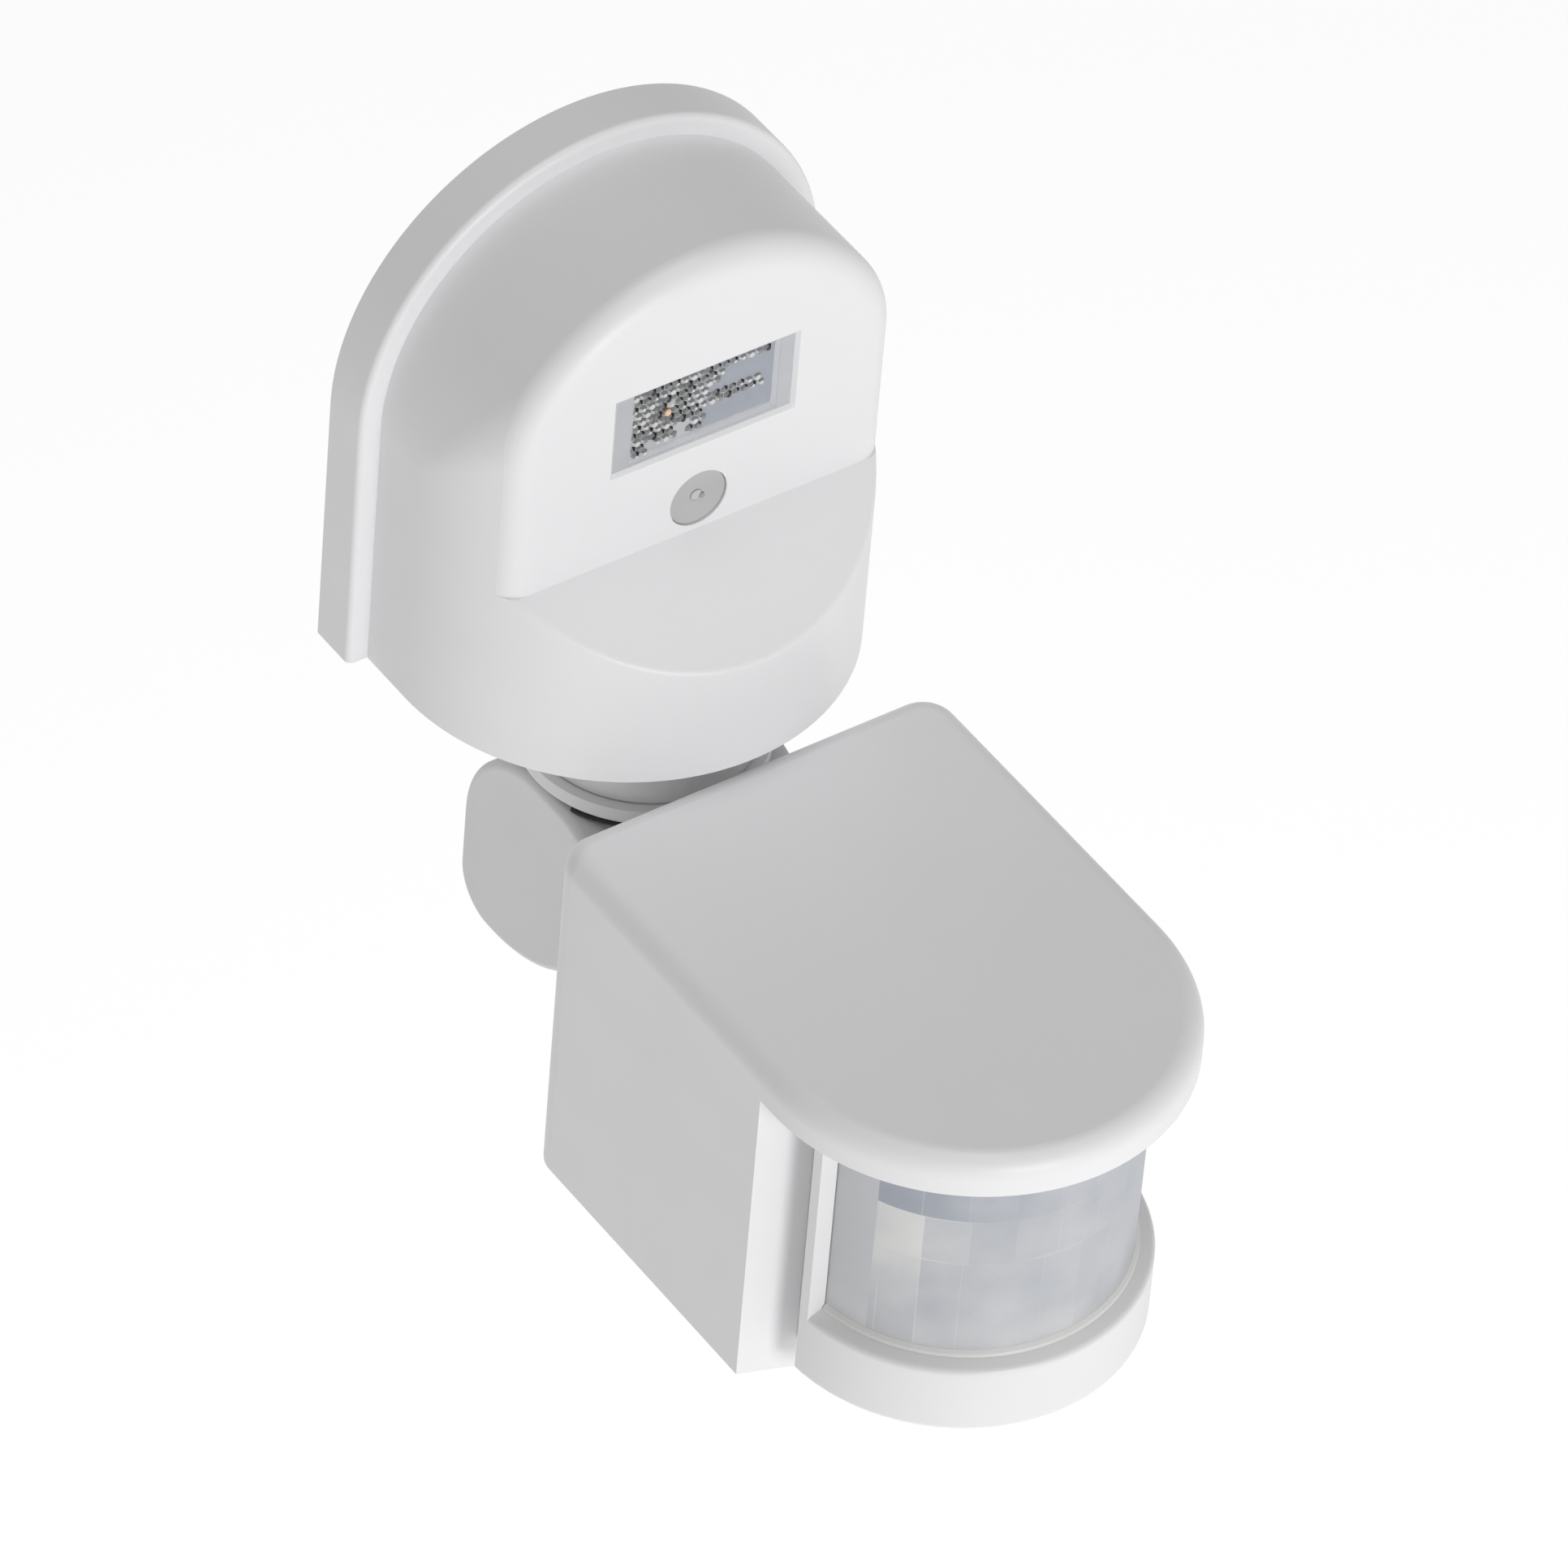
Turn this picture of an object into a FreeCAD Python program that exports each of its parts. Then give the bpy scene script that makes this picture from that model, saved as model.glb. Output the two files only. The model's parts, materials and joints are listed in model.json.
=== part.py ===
import FreeCAD, Part
import math
import os

# Wall-mounted motion sensor with a light window: an arched base, a two-axis swivel and a sensor head.
# Millimetres. X is to the side, Y runs back into the wall, Z is up.
# The origin is on the wall plane, under the middle of the base: the front faces -Y.

V = FreeCAD.Vector

# Base
WALL = 2.2                  # wall thickness of all mouldings
FLANGE_HALF = 36.0          # half the width of the arched flange, and the radius of its arch
FLANGE_DEPTH = 7.4
ARCH_CENTRE_Z = 40.2
COVER_HALF = 33.0           # half the width of the cover, and the radius of its rounded front
COVER_CENTRE_Y = -16.4
COVER_EDGE = 4.0            # rounding around the front face
COVER_SHOULDER = 12.0       # rounding where the arch runs into the rounded front
FACE_Y = -32.9              # the flat front face
LEDGE_Z = 27.8              # height at which the front face meets the ledge
LEDGE_SLOPE = 0.63          # how far the ledge drops for each millimetre forward
PLATE_HALF = 33.3
PLATE_THICK = 2.6
SHOULDER_Y = -4.0           # seat for the gasket inside the flange
SLOT_X = 22.0               # slots for the wall screws
SLOT_Z = 36.0
SLOT_LENGTH = 8.0
SLOT_RADIUS = 2.25
CABLE_Z = 56.0              # cable entry
CABLE_RADIUS = 3.5
GROMMET_SEAT = 6.0
POLES = (-9.4, 0.0, 9.4)    # the ways of the terminal block
BLOCK_TOP = 24.0
BLOCK_BOTTOM = 12.5
BLOCK_FRONT = -16.6
BLOCK_MIDDLE = (BLOCK_TOP + BLOCK_BOTTOM) / 2

# Light window and cover screw
WINDOW_HALF = 14.4
WINDOW_HALF_HEIGHT = 6.6
WINDOW_Z = 49.0
WINDOW_RECESS = 0.5
WINDOW_FLANGE = 1.3         # thickness of the flange glued behind the face
LIGHT_BOARD_FRONT = -27.0
LIGHT_BOARD_THICK = 1.6
LIGHT_SCREWS = (-13.4, 13.4)
PLUG_Z = 33.0
PLUG_RADIUS = 4.35
PLUG_RECESS = 0.3
DISH_RADIUS = 14.0          # hollow of the plug's face
DISH_DEPTH = 0.75

# Swivel
AXIS_Y = -25.0              # the pan axis is vertical, through x = 0 and this y
TILT_Z = -33.0              # the tilt axis runs along X, at this height
COLLAR_RADIUS = 15.6
COLLAR_BOTTOM = -13.0
COLLAR_BORE = 9.0
COLLAR_THREAD = 11.0
SPIGOT_RADIUS = 8.95
DISC_RADIUS = 17.2
DISC_TOP = -13.2
DISC_BOTTOM = -15.8
CHEEK_INNER = 9.3
CHEEK_OUTER = 17.0
CHEEK_RIM = 1.2
CHEEK_BACK = 16.4           # radii of the cam-shaped cheek
CHEEK_NOSE = 12.0
CHEEK_BELLY = 26.2
CHEEK_HEEL = 7.2
LEAD_RADIUS = 2.2
BOLT_RADIUS = 2.5
BOLT_BORE = 2.55
ARM_HALF = 8.5
ARM_RADIUS = 13.6
ARM_TOP = -24.5
ARM_BOTTOM = -41.5
ARM_NECK_HALF = 8.0
ARM_SCREWS_X = (-11.0, 11.0)
ARM_SCREWS_Z = (ARM_BOTTOM - 0.5, ARM_TOP + 1.0)

# Head
HEAD_HALF = 30.4
HEAD_REAR = -47.5
REAR_ROUND = 5.0            # upright corners at the back of the head
HEAD_TOP = -2.0
HEAD_BOTTOM = -57.5
REAR_INNER = HEAD_REAR - 3.0
SIDE_END = -96.6            # where the side walls turn inwards to the lens frame
STRIP_X = 23.1
STRIP_Y = -99.2
MOUTH_HALF = 21.5           # half the width of the opening that takes the lens frame
HOOD_CENTRE_Y = -99.5
HOOD_RIM = -7.7
BOSS_X = (-24.2, 24.2)      # screw bosses for the closing plate
BOSS_Y = (-55.0, -90.5)
BOSS_RADIUS = 3.0
FLOOR_TOP = -55.1
BEZEL_RADIUS = 26.2
BEZEL_CENTRE_Y = -101.3
BEZEL_BACK = STRIP_Y - 0.2
BEZEL_RIM_BACK = -103.3     # the rim stands clear of the head on a narrower neck
NECK_HALF = 22.9
NECK_INNER = 20.7
CHIN_TOP = -42.4
CHIN_RISE = 1.0              # the chin's top climbs this much towards the lens
CHIN_BOTTOM = -53.1
CHIN_STEP = 2.4             # depth of the lens seat in the chin
POST_FACE_Y = -104.9
LENS_SLOT = 0.8              # depth of the slot in each post that holds the lens
TONGUE_HALF = 21.2
LENS_RADIUS = 23.5
LENS_WALL = 1.0

# Inside the head
BOARD_HALF = 20.4
BOARD_BACK = -57.0
BOARD_FRONT = -89.5
BOARD_TOP = -42.0
BOARD_THICK = 1.6
BOARD_BOTTOM = BOARD_TOP - BOARD_THICK
POST_X = (-16.5, 16.5)      # pillars under the main board
POST_Y = (-59.5, -86.5)
SENSOR_BOARD_Y = -92.0
SENSOR_FRONT = SENSOR_BOARD_Y - 1.6
SENSOR_Z = -25.0
LED_X = 9.0
LED_Z = -34.0
KNOB_X = (-14.0, 0.0, 14.0)
KNOB_Y = -74.0
KNOB_RADIUS = 4.3
KNOB_HOLE = 4.7
FLUTES = 18
TRIMMER_BOTTOM = BOARD_BOTTOM - 5.0
DAYLIGHT_Y = -86.0


def box(x0, x1, y0, y1, z0, z1):
    """Block between two corners."""
    return Part.makeBox(x1 - x0, y1 - y0, z1 - z0, V(x0, y0, z0))


def rod(radius, start, end):
    """Cylinder between two points."""
    start = V(*start)
    along = V(*end) - start
    return Part.makeCylinder(radius, along.Length, start, along)


def ring(outer, inner, start, end):
    """Tube between two points."""
    return rod(outer, start, end).cut(rod(inner, start, end))


def upright(radius, z0, z1):
    """Cylinder on the pan axis."""
    return rod(radius, (0, AXIS_Y, z0), (0, AXIS_Y, z1))


def crosswise(radius, x0, x1):
    """Cylinder on the tilt axis."""
    return rod(radius, (x0, AXIS_Y, TILT_Z), (x1, AXIS_Y, TILT_Z))


def joined(shapes):
    """One solid from several that touch."""
    whole = shapes[0]
    for shape in shapes[1:]:
        whole = whole.fuse(shape)
    return whole.removeSplitter()


def group(shapes):
    """Separate solids that share a node."""
    return Part.makeCompound(shapes)


def raised(points, along):
    """Closed polygon through the points, swept along a vector."""
    return Part.Face(Part.makePolygon(points + points[:1])).extrude(along)


def arch(half, bottom, y0, y1):
    """Arched block: straight sides and a round top about ARCH_CENTRE_Z, from y0 back to y1."""
    left = V(-half, y0, ARCH_CENTRE_Z)
    right = V(half, y0, ARCH_CENTRE_Z)
    top = V(0, y0, ARCH_CENTRE_Z + half)
    low_left = V(-half, y0, bottom)
    low_right = V(half, y0, bottom)
    edges = [Part.makeLine(low_left, left),
             Part.Arc(left, top, right).toShape(),
             Part.makeLine(right, low_right),
             Part.makeLine(low_right, low_left)]
    return Part.Face(Part.Wire(edges)).extrude(V(0, y1 - y0, 0))


def round_front(radius, centre_y, back_y, z0, z1):
    """Block with a half-round front in plan."""
    left = V(-radius, centre_y, z0)
    right = V(radius, centre_y, z0)
    front = V(0, centre_y - radius, z0)
    back_left = V(-radius, back_y, z0)
    back_right = V(radius, back_y, z0)
    edges = [Part.makeLine(back_left, left),
             Part.Arc(left, front, right).toShape(),
             Part.makeLine(right, back_right),
             Part.makeLine(back_right, back_left)]
    return Part.Face(Part.Wire(edges)).extrude(V(0, 0, z1 - z0))


def middle(edge):
    """Middle point of an edge."""
    return edge.valueAt((edge.FirstParameter + edge.LastParameter) / 2)


def near(value, target):
    """Whether an edge's coordinate lies on a plane."""
    return abs(value - target) < 0.01


def rounded(shape, radius, choose):
    """Fillet every edge that the test picks."""
    return shape.makeFillet(radius, [edge for edge in shape.Edges if choose(edge)])


def mirrored(shape):
    """The same shape on the other side of the middle plane."""
    return shape.mirror(V(0, 0, 0), V(1, 0, 0))


def hexagon(across, start, end):
    """Hexagonal bar along Z or X between two points."""
    start = V(*start)
    along = V(*end) - start
    radius = across / math.sqrt(3)
    side = V(0, 1, 0)
    other = along.cross(side).normalize()
    corners = []
    for k in range(6):
        angle = k * math.pi / 3
        corners.append(start + side * radius * math.cos(angle) + other * radius * math.sin(angle))
    return raised(corners, along)


def slotted_screw(radius, tip, head_start, head_radius, head_end, slot_depth):
    """Cheese-head screw from its tip to the end of its head, with a driver slot."""
    body = joined([rod(radius, tip, head_start), rod(head_radius, head_start, head_end)])
    along = (V(*head_end) - V(*head_start)).normalize()
    reach = head_radius * 1.2
    cutter = Part.makeBox(2 * reach, 0.8, slot_depth, V(-reach, -0.4, -slot_depth))
    cutter.Placement = FreeCAD.Placement(V(*head_end), FreeCAD.Rotation(V(0, 0, 1), along))
    return body.cut(cutter)


# Base

def shoulder(edge):
    """Picks the two slanting edges between the arch and the rounded front."""
    point = middle(edge)
    return point.z > ARCH_CENTRE_Z + 1 and FACE_Y + 1 < point.y < COVER_CENTRE_Y and abs(point.x) > 20


def cover_volume(inset):
    """Outline of the cover, shrunk by a wall thickness for the hollow inside."""
    half = COVER_HALF - inset
    face_y = FACE_Y + inset
    front = round_front(half, COVER_CENTRE_Y, 0, 0, ARCH_CENTRE_Z + COVER_HALF)
    tower = arch(half, inset, face_y, 0).common(front)
    if not inset:
        tower = rounded(tower, COVER_SHOULDER, shoulder)
        tower = rounded(tower, COVER_EDGE, lambda edge: near(middle(edge).y, face_y) and middle(edge).z > 1.0)
    front_y = COVER_CENTRE_Y - COVER_HALF - 5
    ledge = LEDGE_Z - inset * 1.2
    low = ledge - LEDGE_SLOPE * (FACE_Y - front_y)
    side = -FLANGE_HALF
    corners = [V(side, FACE_Y + 0.01, ledge), V(side, front_y, low),
               V(side, front_y, ledge + 5), V(side, FACE_Y + 0.01, ledge + 5)]
    slope = raised(corners, V(2 * FLANGE_HALF, 0, 0))
    skirt = round_front(half, COVER_CENTRE_Y, 0, inset, ledge).cut(slope)
    if not inset:
        rim_y = COVER_CENTRE_Y - half + 1
        skirt = rounded(skirt, 1.0, lambda edge: middle(edge).y < rim_y and middle(edge).z > 5)
    return joined([tower, skirt])


def base_cover():
    """Flange and cover in one moulding, open at the back, with a well for the cover screw."""
    flange = arch(FLANGE_HALF, 0, -FLANGE_DEPTH, 0)
    flange = rounded(flange, 1.0, lambda edge: near(middle(edge).y, -FLANGE_DEPTH) and middle(edge).z > 1.0)
    shell = joined([flange, cover_volume(0)])
    shell = shell.cut(cover_volume(WALL))
    shell = shell.cut(arch(PLATE_HALF + 0.3, WALL, SHOULDER_Y, 0))
    shell = shell.cut(box(-WINDOW_HALF, WINDOW_HALF, FACE_Y - 1, FACE_Y + 4,
                          WINDOW_Z - WINDOW_HALF_HEIGHT, WINDOW_Z + WINDOW_HALF_HEIGHT))
    shell = joined([shell, rod(6.0, (0, FACE_Y + 1, PLUG_Z), (0, -12.0, PLUG_Z))])
    shell = shell.cut(rod(PLUG_RADIUS + 0.1, (0, FACE_Y - 1, PLUG_Z), (0, -14.0, PLUG_Z)))
    shell = shell.cut(rod(2.2, (0, -15.0, PLUG_Z), (0, -11.0, PLUG_Z)))
    return shell.cut(upright(COLLAR_THREAD + 0.2, -1, WALL + 1))


def wall_slot(centre):
    """Slot through the wall plate, with round ends."""
    reach = SLOT_LENGTH / 2 - SLOT_RADIUS
    left = rod(SLOT_RADIUS, (centre - reach, -4, SLOT_Z), (centre - reach, 1, SLOT_Z))
    right = rod(SLOT_RADIUS, (centre + reach, -4, SLOT_Z), (centre + reach, 1, SLOT_Z))
    between = box(centre - reach, centre + reach, -4, 1, SLOT_Z - SLOT_RADIUS, SLOT_Z + SLOT_RADIUS)
    return joined([left, right, between])


def wall_plate():
    """Back plate with a boss for the cover screw, two slots and the cable entry."""
    plate = arch(PLATE_HALF, WALL + 0.3, -PLATE_THICK, 0)
    plate = joined([plate, rod(4.0, (0, -PLATE_THICK, PLUG_Z), (0, -11.8, PLUG_Z))])
    plate = plate.cut(rod(1.8, (0, -12.0, PLUG_Z), (0, -1.0, PLUG_Z)))
    plate = plate.cut(wall_slot(-SLOT_X)).cut(wall_slot(SLOT_X))
    return plate.cut(rod(GROMMET_SEAT, (0, -4, CABLE_Z), (0, 1, CABLE_Z)))


def cover_gasket():
    """Flat seal between the cover's shoulder and the wall plate."""
    outer = arch(PLATE_HALF, WALL + 0.3, SHOULDER_Y, -PLATE_THICK)
    return outer.cut(arch(COVER_HALF - WALL + 0.4, WALL + 2.4, SHOULDER_Y - 1, 0))


def cable_grommet():
    """Sleeve for the supply cable, held in the wall plate by its flange."""
    seat = -PLATE_THICK
    waist = rod(GROMMET_SEAT - 0.05, (0, seat, CABLE_Z), (0, -0.2, CABLE_Z))
    flange = rod(8.0, (0, seat - 1.6, CABLE_Z), (0, seat, CABLE_Z))
    nose = rod(5.4, (0, seat - 5.0, CABLE_Z), (0, seat - 1.6, CABLE_Z))
    return joined([waist, flange, nose]).cut(rod(CABLE_RADIUS, (0, -9, CABLE_Z), (0, 1, CABLE_Z)))


def terminal_block():
    block = box(-15, 15, BLOCK_FRONT, -PLATE_THICK, BLOCK_BOTTOM, BLOCK_TOP)
    for x in POLES:
        block = block.cut(box(x - 3.2, x + 3.2, -12.0, -5.4, BLOCK_BOTTOM - 1, BLOCK_TOP + 1))
        block = block.cut(rod(2.3, (x, BLOCK_FRONT - 1, BLOCK_MIDDLE), (x, -11.5, BLOCK_MIDDLE)))
    return block


def terminal_clamps():
    """Brass clamps with a cross hole for the wire and a hole for the screw."""
    clamps = []
    for x in POLES:
        clamp = box(x - 3.0, x + 3.0, -11.8, -5.6, BLOCK_BOTTOM + 0.6, BLOCK_TOP - 0.6)
        clamp = clamp.cut(rod(1.7, (x, -7.9, BLOCK_BOTTOM), (x, -7.9, BLOCK_TOP)))
        clamps.append(clamp.cut(rod(1.35, (x, -13, BLOCK_MIDDLE), (x, -8.0, BLOCK_MIDDLE))))
    return group(clamps)


def terminal_screws():
    screws = []
    for x in POLES:
        tip = (x, -9.8, BLOCK_MIDDLE)
        seat = (x, -12.2, BLOCK_MIDDLE)
        end = (x, -14.6, BLOCK_MIDDLE)
        screws.append(slotted_screw(1.3, tip, seat, 2.1, end, 0.8))
    return group(screws)


def screw_plug():
    """Dished cap over the cover screw."""
    front = FACE_Y + PLUG_RECESS
    cap = rod(PLUG_RADIUS, (0, front, PLUG_Z), (0, front + 3.3, PLUG_Z))
    return cap.cut(Part.makeSphere(DISH_RADIUS, V(0, front + DISH_DEPTH - DISH_RADIUS, PLUG_Z)))


def cover_screw():
    return slotted_screw(1.75, (0, -3.4, PLUG_Z), (0, -14.0, PLUG_Z), 3.4, (0, -16.6, PLUG_Z), 1.1)


def led_window():
    """Clear light cover: a block in the opening with a shallow pocket, and a flange glued behind the face."""
    half = WINDOW_HALF - 0.1
    low = WINDOW_Z - WINDOW_HALF_HEIGHT + 0.1
    high = WINDOW_Z + WINDOW_HALF_HEIGHT - 0.1
    front = FACE_Y + WINDOW_RECESS
    seat = FACE_Y + WALL
    back = seat + WINDOW_FLANGE
    block = box(-half, half, front, seat + 0.1, low, high)
    flange = box(-half - 1.4, half + 1.4, seat, back, low - 1.4, high + 1.4)
    pocket = box(-half + 3.0, half - 2.6, front - 1, front + 0.6, low + 0.8, high - 0.4)
    window = joined([block, flange]).cut(pocket)
    for x in LIGHT_SCREWS:
        window = window.fuse(rod(1.9, (x, back, WINDOW_Z), (x, LIGHT_BOARD_FRONT, WINDOW_Z)))
        window = window.cut(rod(0.95, (x, back - 0.3, WINDOW_Z), (x, LIGHT_BOARD_FRONT, WINDOW_Z)))
    return window.removeSplitter()


def led_board():
    back = LIGHT_BOARD_FRONT + LIGHT_BOARD_THICK
    board = box(-15.4, 15.4, LIGHT_BOARD_FRONT, back, WINDOW_Z - 8, WINDOW_Z + 8)
    for x in LIGHT_SCREWS:
        board = board.cut(rod(1.0, (x, LIGHT_BOARD_FRONT - 1, WINDOW_Z), (x, back + 1, WINDOW_Z)))
    return board


def led_chips():
    """Two rows of surface-mounted light chips."""
    chips = []
    for z in (WINDOW_Z - 3.0, WINDOW_Z + 3.0):
        for column in range(6):
            x = (column - 2.5) * 4.2
            chips.append(box(x - 1.4, x + 1.4, LIGHT_BOARD_FRONT - 0.8, LIGHT_BOARD_FRONT, z - 1.4, z + 1.4))
    return group(chips)


def led_board_screws():
    """Two screws from behind the light board into pillars on the window's back."""
    seat = LIGHT_BOARD_FRONT + LIGHT_BOARD_THICK
    screws = []
    for x in LIGHT_SCREWS:
        tip = (x, LIGHT_BOARD_FRONT - 2.0, WINDOW_Z)
        screws.append(slotted_screw(0.9, tip, (x, seat, WINDOW_Z), 1.6, (x, seat + 1.2, WINDOW_Z), 0.5))
    return group(screws)


def supply_lead():
    """Sheathed lead inside the base, from beside the terminal block down to the hollow spigot."""
    bend = 5.0
    run_z = 22.0
    low = V(0, AXIS_Y, 15.0)
    knee = V(0, AXIS_Y, run_z - bend)
    side = V(bend, AXIS_Y, run_z)
    inner = bend * math.cos(math.pi / 4)
    turn = V(bend - inner, AXIS_Y, run_z - bend + inner)
    far = V(18.0, AXIS_Y, run_z)
    arc = Part.Arc(knee, turn, side).toShape()
    path = Part.Wire([Part.makeLine(low, knee), arc, Part.makeLine(side, far)])
    section = Part.Wire(Part.makeCircle(LEAD_RADIUS, low, V(0, 0, 1)))
    return path.makePipeShell([section], True, True)


# Swivel

def fixed_collar():
    """Ring under the base with a threaded spigot that goes through the base floor."""
    body = joined([upright(COLLAR_RADIUS, COLLAR_BOTTOM, 0), upright(COLLAR_THREAD, 0, 8.0)])
    body = body.cut(upright(COLLAR_BORE, COLLAR_BOTTOM - 1, 9))
    groove = ring(14.4, 12.2, (0, AXIS_Y, COLLAR_BOTTOM - 1), (0, AXIS_Y, COLLAR_BOTTOM + 1.8))
    return body.cut(groove)


def collar_nut():
    nut = hexagon(28.0, (0, AXIS_Y, WALL), (0, AXIS_Y, 7.0))
    return nut.cut(upright(COLLAR_THREAD + 0.05, 0, 8))


def swivel_seal():
    return Part.makeTorus(13.3, 0.8, V(0, AXIS_Y, COLLAR_BOTTOM + 0.75), V(0, 0, 1))


def swivel_washer():
    return ring(10.9, 9.1, (0, AXIS_Y, 8.1), (0, AXIS_Y, 8.7))


def swivel_clip():
    """Open ring that snaps into the spigot's groove."""
    clip = ring(10.6, 7.7, (0, AXIS_Y, 8.8), (0, AXIS_Y, 9.9))
    return clip.cut(box(-3.5, 3.5, AXIS_Y, AXIS_Y + 12, 8, 11))


def on_arc(x, centre, radius, angle):
    """Point on a circle about centre (y, z), in the plane at x."""
    return V(x, centre[0] + radius * math.cos(angle), centre[1] + radius * math.sin(angle))


def cheek_outline(x):
    """Side outline of the knuckle: a cam shape of four tangent arcs joined by short straight lines."""
    quarter = math.pi / 2
    back = (AXIS_Y - 0.2, TILT_Z)
    heel = (back[0] + CHEEK_BACK - CHEEK_HEEL, TILT_Z - 9.5)
    belly = (heel[0] - 1.0, heel[1] - CHEEK_HEEL + CHEEK_BELLY)
    nose_z = TILT_Z + CHEEK_BACK - CHEEK_NOSE
    reach = math.sqrt((CHEEK_BELLY - CHEEK_NOSE) ** 2 - (nose_z - belly[1]) ** 2)
    nose = (belly[0] - reach, nose_z)
    lean = math.atan2(nose[1] - belly[1], nose[0] - belly[0]) % (4 * quarter)
    arcs = [(back, CHEEK_BACK, 0, quarter), (nose, CHEEK_NOSE, quarter, lean),
            (belly, CHEEK_BELLY, lean, 3 * quarter), (heel, CHEEK_HEEL, 3 * quarter, 4 * quarter)]
    edges = []
    for k, (centre, radius, first, last) in enumerate(arcs):
        start = on_arc(x, centre, radius, first)
        end = on_arc(x, centre, radius, last)
        edges.append(Part.Arc(start, on_arc(x, centre, radius, (first + last) / 2), end).toShape())
        following, next_radius, next_first, _ = arcs[(k + 1) % 4]
        onward = on_arc(x, following, next_radius, next_first)
        if (onward - end).Length > 0.001:
            edges.append(Part.makeLine(end, onward))
    return Part.Wire(edges)


def cheek():
    """One side of the knuckle, on +X, with its outer rim rounded."""
    plate = Part.Face(cheek_outline(CHEEK_INNER)).extrude(V(CHEEK_OUTER - CHEEK_INNER, 0, 0))
    return rounded(plate, CHEEK_RIM, lambda edge: near(middle(edge).x, CHEEK_OUTER))


def swivel_body():
    """Hollow spigot, disc and the two cheeks of the knuckle, moulded in one."""
    disc = rounded(upright(DISC_RADIUS, DISC_BOTTOM, DISC_TOP), 0.8,
                   lambda edge: near(middle(edge).z, DISC_BOTTOM))
    neck = upright(13.4, -21.5, DISC_BOTTOM).cut(crosswise(ARM_RADIUS + 0.7, -CHEEK_INNER, CHEEK_INNER))
    body = joined([upright(SPIGOT_RADIUS, DISC_TOP, 11.0), disc, neck, cheek(), mirrored(cheek())])
    body = body.cut(upright(4.0, -30, 12))
    body = body.cut(ring(12.0, 7.6, (0, AXIS_Y, 8.75), (0, AXIS_Y, 10.0)))
    body = body.cut(crosswise(BOLT_BORE, -14.0, 18))
    body = body.cut(crosswise(4.8, 13.2, 18))
    return body.cut(hexagon(8.2, (-13.4, AXIS_Y, TILT_Z), (-CHEEK_INNER, AXIS_Y, TILT_Z)))


def swivel_lead():
    return upright(LEAD_RADIUS, -22.5, 14.0)


def tilt_bolt():
    """Cap-head bolt with a hexagonal socket."""
    bolt = joined([crosswise(BOLT_RADIUS, -13.6, 14.1), crosswise(4.4, 14.1, 16.4)])
    return bolt.cut(hexagon(3.0, (14.9, AXIS_Y, TILT_Z), (17, AXIS_Y, TILT_Z)))


def tilt_nut():
    nut = hexagon(8.0, (-13.2, AXIS_Y, TILT_Z), (-9.6, AXIS_Y, TILT_Z))
    return nut.cut(crosswise(BOLT_BORE, -14, -9))


def tilt_spring_washer():
    return ring(4.5, 2.7, (13.3, AXIS_Y, TILT_Z), (14.05, AXIS_Y, TILT_Z))


def friction_washers():
    """A washer each side of the arm's drum."""
    right = ring(8.0, 2.8, (8.6, AXIS_Y, TILT_Z), (9.2, AXIS_Y, TILT_Z))
    return group([right, mirrored(right)])


def tilt_cap():
    """Round cover pressed into the bolt's recess."""
    return rounded(crosswise(4.7, 16.5, 17.3), 0.4, lambda edge: near(middle(edge).x, 17.3))


def tilt_arm():
    """Drum on the tilt bolt with a hollow neck that reaches through the back of the head."""
    tail = REAR_INNER - 2.4
    drum = crosswise(ARM_RADIUS, -ARM_HALF, ARM_HALF)
    neck = box(-ARM_NECK_HALF, ARM_NECK_HALF, tail, AXIS_Y, ARM_BOTTOM, ARM_TOP)
    flange = box(-13.5, 13.5, tail, REAR_INNER, ARM_BOTTOM - 3.5, ARM_TOP + 4.0)
    arm = joined([drum, neck, flange])
    upper = box(-5, 5, AXIS_Y - 20, AXIS_Y + 20, TILT_Z + 2, TILT_Z + 20)
    chamber = crosswise(ARM_RADIUS + 1, -4.6, 4.6).common(upper)
    channel = box(-4.6, 4.6, tail - 0.6, AXIS_Y, TILT_Z + 1.5, ARM_TOP - 1.8)
    hub = crosswise(5.2, -ARM_HALF, ARM_HALF)
    arm = arm.cut(chamber.fuse(channel).cut(hub))
    for x in ARM_SCREWS_X:
        for z in ARM_SCREWS_Z:
            arm = arm.cut(rod(1.5, (x, tail - 0.6, z), (x, REAR_INNER + 1, z)))
    return arm.cut(crosswise(BOLT_BORE, -12, 12))


def arm_screws():
    screws = []
    seat = REAR_INNER - 2.4
    for x in ARM_SCREWS_X:
        for z in ARM_SCREWS_Z:
            tip = (x, HEAD_REAR - 1.2, z)
            screws.append(slotted_screw(1.15, tip, (x, seat, z), 2.3, (x, seat - 1.6, z), 0.7))
    return group(screws)


def arm_lead():
    height = TILT_Z + 4.3
    return rod(LEAD_RADIUS, (0, AXIS_Y - 7.5, height), (0, REAR_INNER - 4.5, height))


# Head

def head_outline(inset, rear, bottom, top):
    """Plan of the head's side walls and angled strips, raised from bottom to top."""
    turn = inset * 0.45
    side = HEAD_HALF - inset
    strip_x = STRIP_X - turn
    strip_y = STRIP_Y + inset
    corners = [V(-side, rear, bottom), V(side, rear, bottom), V(side, SIDE_END + turn, bottom),
               V(strip_x, strip_y, bottom), V(-strip_x, strip_y, bottom), V(-side, SIDE_END + turn, bottom)]
    outline = raised(corners, V(0, 0, top - bottom))
    if not inset:
        return outline
    return rounded(outline, REAR_ROUND - inset,
                   lambda edge: near(middle(edge).y, rear) and edge.BoundBox.ZLength > top - bottom - 0.1)


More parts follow.
